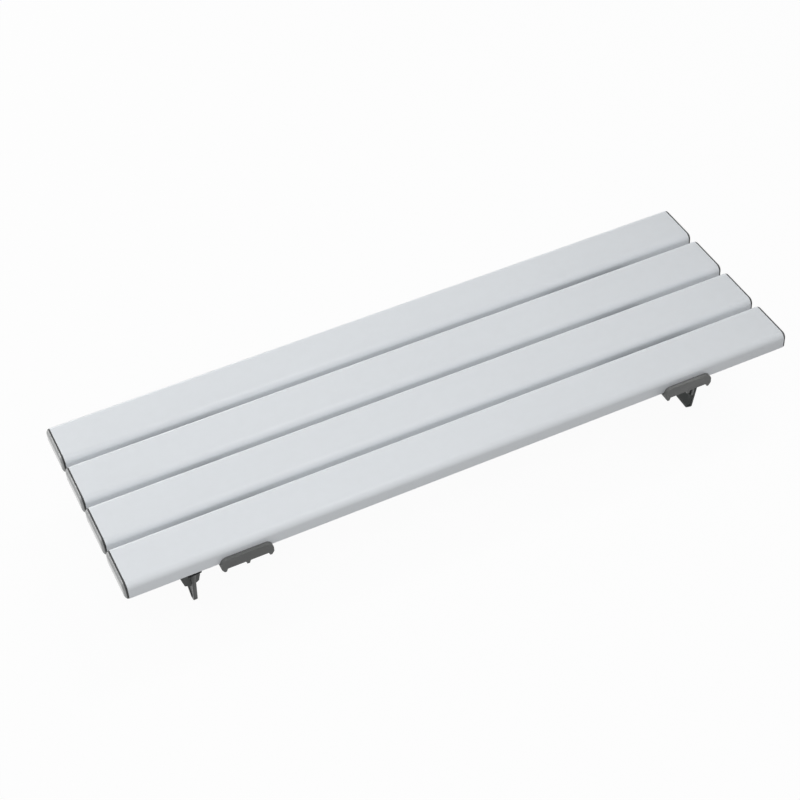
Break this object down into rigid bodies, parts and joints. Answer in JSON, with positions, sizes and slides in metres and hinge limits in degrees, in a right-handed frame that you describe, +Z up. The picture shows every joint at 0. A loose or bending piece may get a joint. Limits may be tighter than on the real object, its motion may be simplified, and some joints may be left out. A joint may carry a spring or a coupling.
{
  "type": "bath board",
  "caption": "Slatted bath board: hollow slats with end caps, screwed to cross rails, and at each corner a clamped sliding arm with a turning padded leg.",
  "frame": {"origin": "middle of the floor plane that the leg tips touch, under the middle of the board", "axes": "+X along the slats to the right, +Y to the rear edge, +Z up"},
  "size_m": [0.686, 0.232, 0.1103],
  "materials": {
    "slat": "satin white extruded plastic",
    "end_cap": "fine matt grey moulded plastic",
    "bracket": "fine matt grey moulded plastic",
    "leg": "fine matt dark grey moulded plastic",
    "knob": "matt near-black moulded plastic",
    "fastener": "bright stainless steel",
    "pad": "soft matt rubber"
  },
  "bodies": {
    "frame": {"slat_front": "slat", "slat_mid_front": "slat", "slat_mid_rear": "slat", "slat_rear": "slat", "end_cap_front_left": "end_cap", "end_cap_front_right": "end_cap", "end_cap_mid_front_left": "end_cap", "end_cap_mid_front_right": "end_cap", "end_cap_mid_rear_left": "end_cap", "end_cap_mid_rear_right": "end_cap", "end_cap_rear_left": "end_cap", "end_cap_rear_right": "end_cap", "cross_rail_left": "bracket", "cross_rail_right": "bracket", "slat_screw_left_front_inner": "fastener", "slat_screw_left_front_outer": "fastener", "slat_screw_left_mid_front_inner": "fastener", "slat_screw_left_mid_front_outer": "fastener", "slat_screw_left_mid_rear_inner": "fastener", "slat_screw_left_mid_rear_outer": "fastener", "slat_screw_left_rear_inner": "fastener", "slat_screw_left_rear_outer": "fastener", "slat_screw_right_front_inner": "fastener", "slat_screw_right_front_outer": "fastener", "slat_screw_right_mid_front_inner": "fastener", "slat_screw_right_mid_front_outer": "fastener", "slat_screw_right_mid_rear_inner": "fastener", "slat_screw_right_mid_rear_outer": "fastener", "slat_screw_right_rear_inner": "fastener", "slat_screw_right_rear_outer": "fastener", "clamp_bolt_front_left": "fastener", "clamp_bolt_front_right": "fastener", "clamp_bolt_rear_left": "fastener", "clamp_bolt_rear_right": "fastener"},
    "washer_front_left": {"clamp_washer_front_left": "fastener"},
    "washer_front_right": {"clamp_washer_front_right": "fastener"},
    "washer_rear_left": {"clamp_washer_rear_left": "fastener"},
    "washer_rear_right": {"clamp_washer_rear_right": "fastener"},
    "knob_front_left": {"clamp_knob_front_left": "knob"},
    "knob_front_right": {"clamp_knob_front_right": "knob"},
    "knob_rear_left": {"clamp_knob_rear_left": "knob"},
    "knob_rear_right": {"clamp_knob_rear_right": "knob"},
    "arm_front_left": {"arm_front_left": "bracket"},
    "arm_front_right": {"arm_front_right": "bracket"},
    "arm_rear_left": {"arm_rear_left": "bracket"},
    "arm_rear_right": {"arm_rear_right": "bracket"},
    "leg_front_left": {"leg_front_left": "leg", "leg_pivot_screw_front_left": "fastener", "leg_pad_front_left": "pad"},
    "leg_front_right": {"leg_front_right": "leg", "leg_pivot_screw_front_right": "fastener", "leg_pad_front_right": "pad"},
    "leg_rear_left": {"leg_rear_left": "leg", "leg_pivot_screw_rear_left": "fastener", "leg_pad_rear_left": "pad"},
    "leg_rear_right": {"leg_rear_right": "leg", "leg_pivot_screw_rear_right": "fastener", "leg_pad_rear_right": "pad"}
  },
  "joints": [
    {"name": "arm_slide_front_left", "type": "slide", "parent": "frame", "child": "arm_front_left", "axis": [-1, 0, 0], "range_m": [-0.014, 0.023]},
    {"name": "arm_slide_front_right", "type": "slide", "parent": "frame", "child": "arm_front_right", "axis": [1, 0, 0], "range_m": [-0.014, 0.023]},
    {"name": "arm_slide_rear_left", "type": "slide", "parent": "frame", "child": "arm_rear_left", "axis": [-1, 0, 0], "range_m": [-0.014, 0.023]},
    {"name": "arm_slide_rear_right", "type": "slide", "parent": "frame", "child": "arm_rear_right", "axis": [1, 0, 0], "range_m": [-0.014, 0.023]},
    {"name": "leg_swivel_front_left", "type": "hinge", "parent": "arm_front_left", "child": "leg_front_left", "pos_m": [-0.27053, -0.0592, 0.0436], "axis": [0, 0, 1], "continuous": true},
    {"name": "leg_swivel_front_right", "type": "hinge", "parent": "arm_front_right", "child": "leg_front_right", "pos_m": [0.27053, -0.0592, 0.0436], "axis": [0, 0, 1], "continuous": true},
    {"name": "leg_swivel_rear_left", "type": "hinge", "parent": "arm_rear_left", "child": "leg_rear_left", "pos_m": [-0.27053, 0.0592, 0.0436], "axis": [0, 0, 1], "continuous": true},
    {"name": "leg_swivel_rear_right", "type": "hinge", "parent": "arm_rear_right", "child": "leg_rear_right", "pos_m": [0.27053, 0.0592, 0.0436], "axis": [0, 0, 1], "continuous": true},
    {"name": "knob_travel_front_left", "type": "slide", "parent": "frame", "child": "washer_front_left", "axis": [0, 0, -1], "range_m": [0, 0.003]},
    {"name": "knob_travel_front_right", "type": "slide", "parent": "frame", "child": "washer_front_right", "axis": [0, 0, -1], "range_m": [0, 0.003]},
    {"name": "knob_travel_rear_left", "type": "slide", "parent": "frame", "child": "washer_rear_left", "axis": [0, 0, -1], "range_m": [0, 0.003]},
    {"name": "knob_travel_rear_right", "type": "slide", "parent": "frame", "child": "washer_rear_right", "axis": [0, 0, -1], "range_m": [0, 0.003]},
    {"name": "knob_turn_front_left", "type": "hinge", "parent": "washer_front_left", "child": "knob_front_left", "pos_m": [-0.21802, -0.0592, 0.0695], "axis": [0, 0, -1], "range_deg": [0, 1080]},
    {"name": "knob_turn_front_right", "type": "hinge", "parent": "washer_front_right", "child": "knob_front_right", "pos_m": [0.21802, -0.0592, 0.0695], "axis": [0, 0, -1], "range_deg": [0, 1080]},
    {"name": "knob_turn_rear_left", "type": "hinge", "parent": "washer_rear_left", "child": "knob_rear_left", "pos_m": [-0.21802, 0.0592, 0.0695], "axis": [0, 0, -1], "range_deg": [0, 1080]},
    {"name": "knob_turn_rear_right", "type": "hinge", "parent": "washer_rear_right", "child": "knob_rear_right", "pos_m": [0.21802, 0.0592, 0.0695], "axis": [0, 0, -1], "range_deg": [0, 1080]}
  ],
  "couplings": [
    {"joint": "knob_turn_front_left", "follows": "knob_travel_front_left", "rad_per_m": 6283},
    {"joint": "knob_turn_front_right", "follows": "knob_travel_front_right", "rad_per_m": 6283},
    {"joint": "knob_turn_rear_left", "follows": "knob_travel_rear_left", "rad_per_m": 6283},
    {"joint": "knob_turn_rear_right", "follows": "knob_travel_rear_right", "rad_per_m": 6283}
  ]
}
